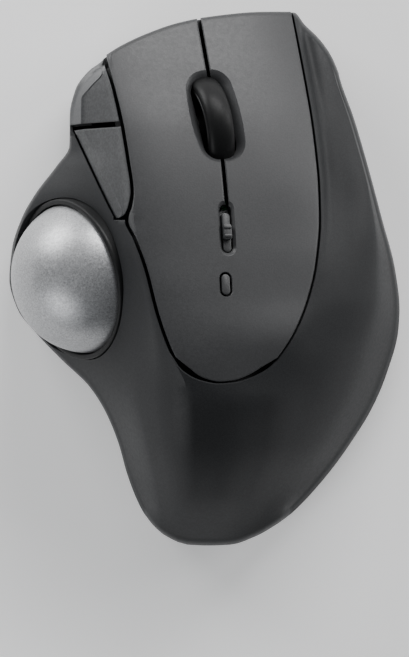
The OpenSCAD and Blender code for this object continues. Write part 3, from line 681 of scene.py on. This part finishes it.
def makeBall():
    deselectAll()
    bpy.ops.mesh.primitive_cube_add(size=2)
    ball = bpy.context.object
    ball.name = "ball"
    bpy.ops.object.mode_set(mode="EDIT")
    bpy.ops.mesh.subdivide(number_cuts=ballLook["cuts"])
    bpy.ops.object.mode_set(mode="OBJECT")
    centre = Vector(ballLook["at"])
    for v in ball.data.vertices:
        x, y, z = (math.tan(c * math.pi / 4) for c in v.co)
        v.co = (centre + Vector((x, y, z)).normalized() * ballLook["radius"]) * mm
    smoothShade(ball, 60)
    return ball


ringLook = {
    "throat": 18.35,        # radius of the sphere that its inner face lies on
    "throatSpan": (2.2, 5.0),
    "lip": [(17.75, 5.25), (17.95, 5.36), (18.4, 5.36), (18.72, 5.26), (18.88, 5.02), (18.9, 4.7),
            (18.9, 2.2)],
}


def makeRing():
    # a thin rounded collar whose throat follows the ball
    throat = [(math.sqrt(ringLook["throat"] ** 2 - h * h), h) for h in along(*ringLook["throatSpan"], 8)]
    ring = turned("ball_ring_collar", throat + ringLook["lip"], onBall(), 160)
    smoothShade(ring, 35)
    return ring


wheelLook = {
    "at": (0.5, 34.9, 27.5),
    "lean": 18,
    "turn": 8.7,
    # radius against half width, from the bore round to the crown
    "tread": [(9.62, 2.4), (9.66, 2.75), (9.8, 3.0), (10.1, 3.1), (10.5, 3.1), (10.9, 2.98), (11.22, 2.72),
              (11.5, 2.34), (11.72, 1.86), (11.87, 1.3), (11.97, 0.65), (12.0, 0)],
    # one face of the hub, from the rim to the axle
    "face": [(9.5, -2.3), (9.5, -2.75), (9.25, -2.95), (8.9, -2.95), (8.75, -2.7), (8.6, -1.2), (4.6, -0.9),
             (3.8, -1.4), (3.5, -3.2), (1.9, -3.5), (1.3, -3.4)],
}


def alongAxle():
    # z runs along the axle, to the right
    look = wheelLook
    return (Matrix.Translation(look["at"]) @ Matrix.Rotation(math.radians(look["lean"]), 4, "Y")
            @ Matrix.Rotation(math.radians(look["turn"]), 4, "Z") @ Matrix.Rotation(math.pi / 2, 4, "Y"))


def mirrored(profile):
    return [(r, -h) for r, h in reversed(profile)]


def makeTyre():
    side = wheelLook["tread"]
    tyre = turned("wheel_tread", mirrored(side[::-1]) + side[-2::-1], alongAxle(), 160)
    smoothShade(tyre, 50)
    return tyre


def makeHub():
    # a dished disc with a raised rim on each face
    hub = turned("wheel_disc", wheelLook["face"] + mirrored(wheelLook["face"]), alongAxle())
    smoothShade(hub, 35)
    return hub


# slider, mode button and key legs

sliderLook = {
    "back": -0.9,           # it rests this far behind the middle of the slot
    # width, length, corner, top and edge, then how deep it goes
    "plate": ((2, 9.3, 0.99, -0.6, 0.25), -2.9),
    "grip": ((1.98, 3.6, 0.55, 0.6, 0.2), -1.0),
    "flange": ((4.4, 12.6, 0.5, -2.6, 0.1), -3.4),
    "flangeBack": -0.5,
    "ridge": ((1.9, 0.8, 0.38, 0.9, 0.22), 0.3),
    "ridgesAt": (-1.0, 1.0),
}
legLook = {
    "side": 3,
    "corner": 0.4,
    "sunk": 1.2,            # its top is this far under the surface
    # share of its width against height, at the foot
    "foot": [(0.93, 19.36), (1, 19.56)],
    "left": (-11, 43.5),
    "right": (14, 43.5),
}


def roundedBlock(name, matrix, size, bottom):
    # rounded corners and a softened top edge
    w, l, r, top, edge = size
    return stackAt(name, matrix, [(w, l, r, bottom), (w, l, r, top - edge),
                                  (w - edge * 0.6, l - edge * 0.6, r - edge * 0.3, top - edge * 0.3),
                                  (w - 2 * edge, l - 2 * edge, r - edge, top)])


def makeSlider():
    look = sliderLook
    m = surfaceFrame(*slotLook["at"]) @ Matrix.Translation((0, look["back"], 0))
    flangeAt = m @ Matrix.Translation((0, look["flangeBack"], 0))
    parts = [roundedBlock("slider_plate", m, *look["plate"]), roundedBlock("slider_grip", m, *look["grip"]),
             roundedBlock("slider_flange", flangeAt, *look["flange"])]
    for y in look["ridgesAt"]:
        parts.append(roundedBlock("slider_ridge", m @ Matrix.Translation((0, y, 0)), *look["ridge"]))
    slider = joinPieces(parts)
    smoothShade(slider, 40)
    return slider


def makePill():
    m = surfaceFrame(*pillLook["at"])
    pill = joinPieces([roundedBlock("mode_cap", m, *pillLook["cap"]),
                       roundedBlock("mode_flange", m, *pillLook["flange"])])
    smoothShade(pill, 40)
    return pill


def makeLeg(name, x, y):
    # the leg under a main key that reaches down to its switch
    outline = roundedOutline(legLook["side"], legLook["side"], legLook["corner"], 3)
    levels = legLook["foot"] + [(1, topZ(x, y) - legLook["sunk"])]
    leg = loft(name, [[(x + a * s, y + b * s, z) for a, b in outline] for s, z in levels])
    smoothShade(leg, 35)
    return leg


# finishes: colours are linear, grain is in patterns per metre

grainDepth = 0.00006
finishes = {
    "deck_plastic": {"base": 0.036, "fleck": 0.044, "tint": (0.97, 0.99, 1.03), "grain": 2600,
                     "bump": 0.22, "rough": (0.42, 0.47)},
    "shell_plastic": {"base": 0.019, "fleck": 0.025, "tint": (0.96, 1.0, 1.06), "grain": 3000,
                      "bump": 0.14, "rough": (0.48, 0.54), "specular": 0.25},
    "side_key_plastic": {"base": 0.036, "fleck": 0.055, "tint": (0.97, 1.0, 1.04), "grain": 1900,
                         "bump": 0.30, "rough": (0.42, 0.56)},
    # painted highlight: lighter grey for the forward key's outer band, standing in for the light that falls
    # on it
    "band_painted_highlight": {"base": 0.085, "fleck": 0.10, "tint": (0.98, 1.0, 1.03), "grain": 2600,
                 "bump": 0.15, "rough": (0.38, 0.44)},
    "ring_plastic": {"base": 0.009, "fleck": 0.013, "tint": (0.97, 1.0, 1.04), "grain": 2600,
                     "bump": 0.12, "rough": (0.38, 0.46), "specular": 0.25},
    "wheel_rubber": {"base": 0.007, "fleck": 0.010, "tint": (0.98, 1.0, 1.03), "grain": 3400,
                     "bump": 0.10, "rough": (0.42, 0.47), "specular": 0.2},
    "hub_plastic": {"base": 0.028, "fleck": 0.035, "tint": (1, 1, 1.02), "grain": 2400,
                    "bump": 0.08, "rough": (0.32, 0.42)},
    "frame_plastic": {"base": 0.045, "fleck": 0.055, "tint": (1, 1, 1), "grain": 1800,
                      "bump": 0.12, "rough": (0.45, 0.6)},
    "encoder_plastic": {"base": 0.30, "fleck": 0.34, "tint": (0.80, 0.95, 1.1), "grain": 1500,
                        "bump": 0.06, "rough": (0.35, 0.5)},
    "black_plastic": {"base": 0.022, "fleck": 0.030, "tint": (1, 1, 1), "grain": 2200,
                      "bump": 0.10, "rough": (0.4, 0.55)},
    "white_plastic": {"base": 0.62, "fleck": 0.68, "tint": (1, 0.99, 0.96), "grain": 1500,
                      "bump": 0.06, "rough": (0.35, 0.5)},
    "red_slider": {"base": 0.32, "fleck": 0.36, "tint": (1.4, 0.10, 0.08), "grain": 1500,
                   "bump": 0.06, "rough": (0.35, 0.5)},
    "foot_pad": {"base": 0.028, "fleck": 0.04, "tint": (1, 1, 1.03), "grain": 1500,
                 "bump": 0.08, "rough": (0.5, 0.65)},
    "steel": {"base": 0.55, "fleck": 0.62, "tint": (0.97, 0.99, 1.02), "grain": 900,
              "bump": 0.05, "rough": (0.22, 0.38), "metallic": 1.0},
    "bearing": {"base": 0.78, "fleck": 0.82, "tint": (1, 0.99, 0.97), "grain": 900,
                "bump": 0.02, "rough": (0.08, 0.16)},
    "lens": {"base": 0.85, "fleck": 0.9, "tint": (0.95, 0.99, 1.0), "grain": 500,
             "bump": 0.01, "rough": (0.03, 0.08), "transmission": 0.85},
    "board_green": {"base": 0.10, "fleck": 0.14, "tint": (0.25, 1.1, 0.45), "grain": 700,
                    "bump": 0.10, "rough": (0.3, 0.45), "coat": 0.4},
    "led": {"base": 0.7, "fleck": 0.75, "tint": (1, 0.95, 0.85), "grain": 700,
            "bump": 0.01, "rough": (0.1, 0.2), "transmission": 0.4},
    "cell": {"base": 0.16, "fleck": 0.2, "tint": (0.75, 0.85, 1.2), "grain": 600,
             "bump": 0.02, "rough": (0.2, 0.32), "metallic": 0.6, "coat": 0.5},
    "ball_resin": {"base": 0.26, "fleck": 0.60, "tint": (0.98, 0.99, 1.01), "grain": 2500,
                   "bump": 0.6, "rough": (0.34, 0.44), "metallic": 0.6, "coat": 0.2,
                   "spread": (0.36, 0.66), "detail": 5.0, "harsh": 0.85},
}


def makeFinish(name, look):
    material = bpy.data.materials.new(name)
    material.use_nodes = True
    nodes, links = material.node_tree.nodes, material.node_tree.links
    shader = nodes["Principled BSDF"]
    shader.inputs["Metallic"].default_value = look.get("metallic", 0.0)
    shader.inputs["Specular IOR Level"].default_value = look.get("specular", 0.5)
    shader.inputs["Coat Weight"].default_value = look.get("coat", 0.0)
    shader.inputs["Coat Roughness"].default_value = 0.2
    shader.inputs["Transmission Weight"].default_value = look.get("transmission", 0.0)
    place = nodes.new("ShaderNodeTexCoord").outputs["Object"]

    def noise(scale, detail, roughness=0.5):
        node = nodes.new("ShaderNodeTexNoise")
        node.inputs["Scale"].default_value = scale
        node.inputs["Detail"].default_value = detail
        node.inputs["Roughness"].default_value = roughness
        links.new(place, node.inputs["Vector"])
        return node.outputs["Fac"]

    def ranged(source, low, high, a, b):
        node = nodes.new("ShaderNodeMapRange")
        for key, value in (("From Min", low), ("From Max", high), ("To Min", a), ("To Max", b)):
            node.inputs[key].default_value = value
        links.new(source, node.inputs["Value"])
        return node.outputs["Result"]

    fine = noise(look["grain"], look.get("detail", 2.0), look.get("harsh", 0.5))
    broad = noise(55, 3.0)
    low, high = look.get("spread", (0.38, 0.62))
    colour = nodes.new("ShaderNodeMix")
    colour.data_type = "RGBA"
    colour.inputs["A"].default_value = [look["base"] * t for t in look["tint"]] + [1]
    colour.inputs["B"].default_value = [look["fleck"] * t for t in look["tint"]] + [1]
    links.new(ranged(fine, low, high, 0, 1), colour.inputs["Factor"])
    tone = nodes.new("ShaderNodeHueSaturation")
    links.new(ranged(broad, 0.35, 0.65, 0.95, 1.05), tone.inputs["Value"])
    links.new(colour.outputs["Result"], tone.inputs["Color"])
    links.new(tone.outputs["Color"], shader.inputs["Base Color"])
    sheen = noise(look["grain"] * 0.45, 2.0)
    links.new(ranged(sheen, 0.35, 0.65, *look["rough"]), shader.inputs["Roughness"])
    bump = nodes.new("ShaderNodeBump")
    bump.inputs["Strength"].default_value = look["bump"]
    bump.inputs["Distance"].default_value = grainDepth
    links.new(fine, bump.inputs["Height"])
    links.new(bump.outputs["Normal"], shader.inputs["Normal"])
    return material


materials = {name: makeFinish(name, look) for name, look in finishes.items()}
for row in frame["record"]["subparts"]:
    shown = frame["nodes"][row["node"]]
    if not shown.material_slots:
        shown.data.materials.append(None)
    for held in shown.material_slots:
        held.material = materials[row["material_slot"]]
print("finishes made:", len(materials))


# the pieces in place

def dress(piece, slot, *nodes):
    piece.data.materials.clear()
    piece.data.materials.append(materials[slot])
    if nodes:
        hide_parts(*nodes)


leftDeck, rightDeck = makeDeck()
leftDeck = joinPieces([leftDeck, makeLeg("left_leg", *legLook["left"])])
rightDeck = joinPieces([rightDeck, makeLeg("right_leg", *legLook["right"])])
for half in (leftDeck, rightDeck):
    smoothShade(half, deckLook["shadeAngle"])
dress(leftDeck, "deck_plastic", "left_key", "top_plate")
dress(rightDeck, "deck_plastic", "right_key")
print("deck made")

forwardKey, backKey = makeSideKeys()
dress(forwardKey, "side_key_plastic", "forward_key")
dress(backKey, "side_key_plastic", "back_key")
forwardKey.data.materials.append(materials["band_painted_highlight"])  # painted highlight: a lighter copy of the key plastic on the outer band, standing in for the front-left light on that edge
for face in forwardKey.data.polygons:
    spot = face.center / mm
    if spot.x < smooth(sideKeyLook["forwardCrease"], spot.y):
        face.material_index = 1
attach(forwardKey, "forward_key")
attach(backKey, "back_key")
print("side keys made")

shell = makeShell()
dress(shell, "shell_plastic", "main_shell")
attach(shell, "housing")
print("shell made")

for maker, slot, node, body in ((makeBall, "ball_resin", "trackball", "trackball"),
                                (makeRing, "ring_plastic", "ball_ring", "housing"),
                                (makeTyre, "wheel_rubber", "wheel_tyre", "wheel"),
                                (makeHub, "hub_plastic", "wheel_hub", "wheel"),
                                (makeSlider, "deck_plastic", "speed_slider", "speed_slider"),
                                (makePill, "deck_plastic", "mode_button", "mode_button")):
    made = maker()
    dress(made, slot, node)
    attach(made, body)
print("ball, ring, wheel, slider and button made")

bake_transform(leftDeck)
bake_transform(rightDeck)


# floor, lights and camera

studio = {
    "floor": 0.92, "floorGlow": 0.35, "world": 0.10,
    # name: place, aim, width, height, power, tone
    "lights": {"front_box": ((0.34, 0.90, 0.58), (0, 0.03, 0.02), 0.80, 0.35, 11.5, (1, 0.995, 1)),
               "right_box": ((0.95, 0.42, 0.34), (0.03, 0, 0.02), 0.40, 0.40, 4.0, (1, 1, 1)),
               "left_box": ((-0.62, 0.72, 0.24), (-0.02, 0, 0.03), 0.55, 0.40, 8.0, (1, 1, 1)),
               "rear_box": ((-0.60, -0.60, 0.45), (0, -0.02, 0.02), 0.60, 0.50, 3.4, (0.97, 0.98, 1))},
    "cameraHeight": 3.0, "cameraY": -0.0115, "viewHeight": 0.1517, "focusHeight": 0.03,
}


def makeFloor():
    deselectAll()
    bpy.ops.mesh.primitive_plane_add(size=6)
    floor = bpy.context.object
    floor.name = "floor"
    paper = bpy.data.materials.new("floor_paper")
    paper.use_nodes = True
    shader = paper.node_tree.nodes["Principled BSDF"]
    pale = [studio["floor"]] * 3 + [1]
    shader.inputs["Base Color"].default_value = pale
    shader.inputs["Roughness"].default_value = 0.8
    shader.inputs["Emission Color"].default_value = pale
    shader.inputs["Emission Strength"].default_value = studio["floorGlow"]
    floor.data.materials.append(paper)


def makeLights():
    for name, (place, aim, w, h, power, tone) in studio["lights"].items():
        data = bpy.data.lights.new(name, "AREA")
        data.shape = "RECTANGLE"
        data.size, data.size_y, data.energy, data.color = w, h, power, tone
        lamp = bpy.data.objects.new(name, data)
        lamp.location = place
        lamp.rotation_euler = (Vector(aim) - Vector(place)).to_track_quat("-Z", "Y").to_euler()
        bpy.context.scene.collection.objects.link(lamp)
    world = bpy.data.worlds.new("studio")
    world.use_nodes = True
    world.node_tree.nodes["Background"].inputs["Color"].default_value = (0.9, 0.95, 1, 1)
    world.node_tree.nodes["Background"].inputs["Strength"].default_value = studio["world"]
    bpy.context.scene.world = world


def makeCamera():
    data = bpy.data.cameras.new("camera")
    data.sensor_width = 36
    reach = studio["cameraHeight"] - studio["focusHeight"]
    data.lens = 36 * reach / studio["viewHeight"]
    camera = bpy.data.objects.new("camera", data)
    camera.location = (0, studio["cameraY"], studio["cameraHeight"])
    bpy.context.scene.collection.objects.link(camera)
    bpy.context.scene.camera = camera


makeFloor()
makeLights()
makeCamera()
print("floor, lights and camera set")
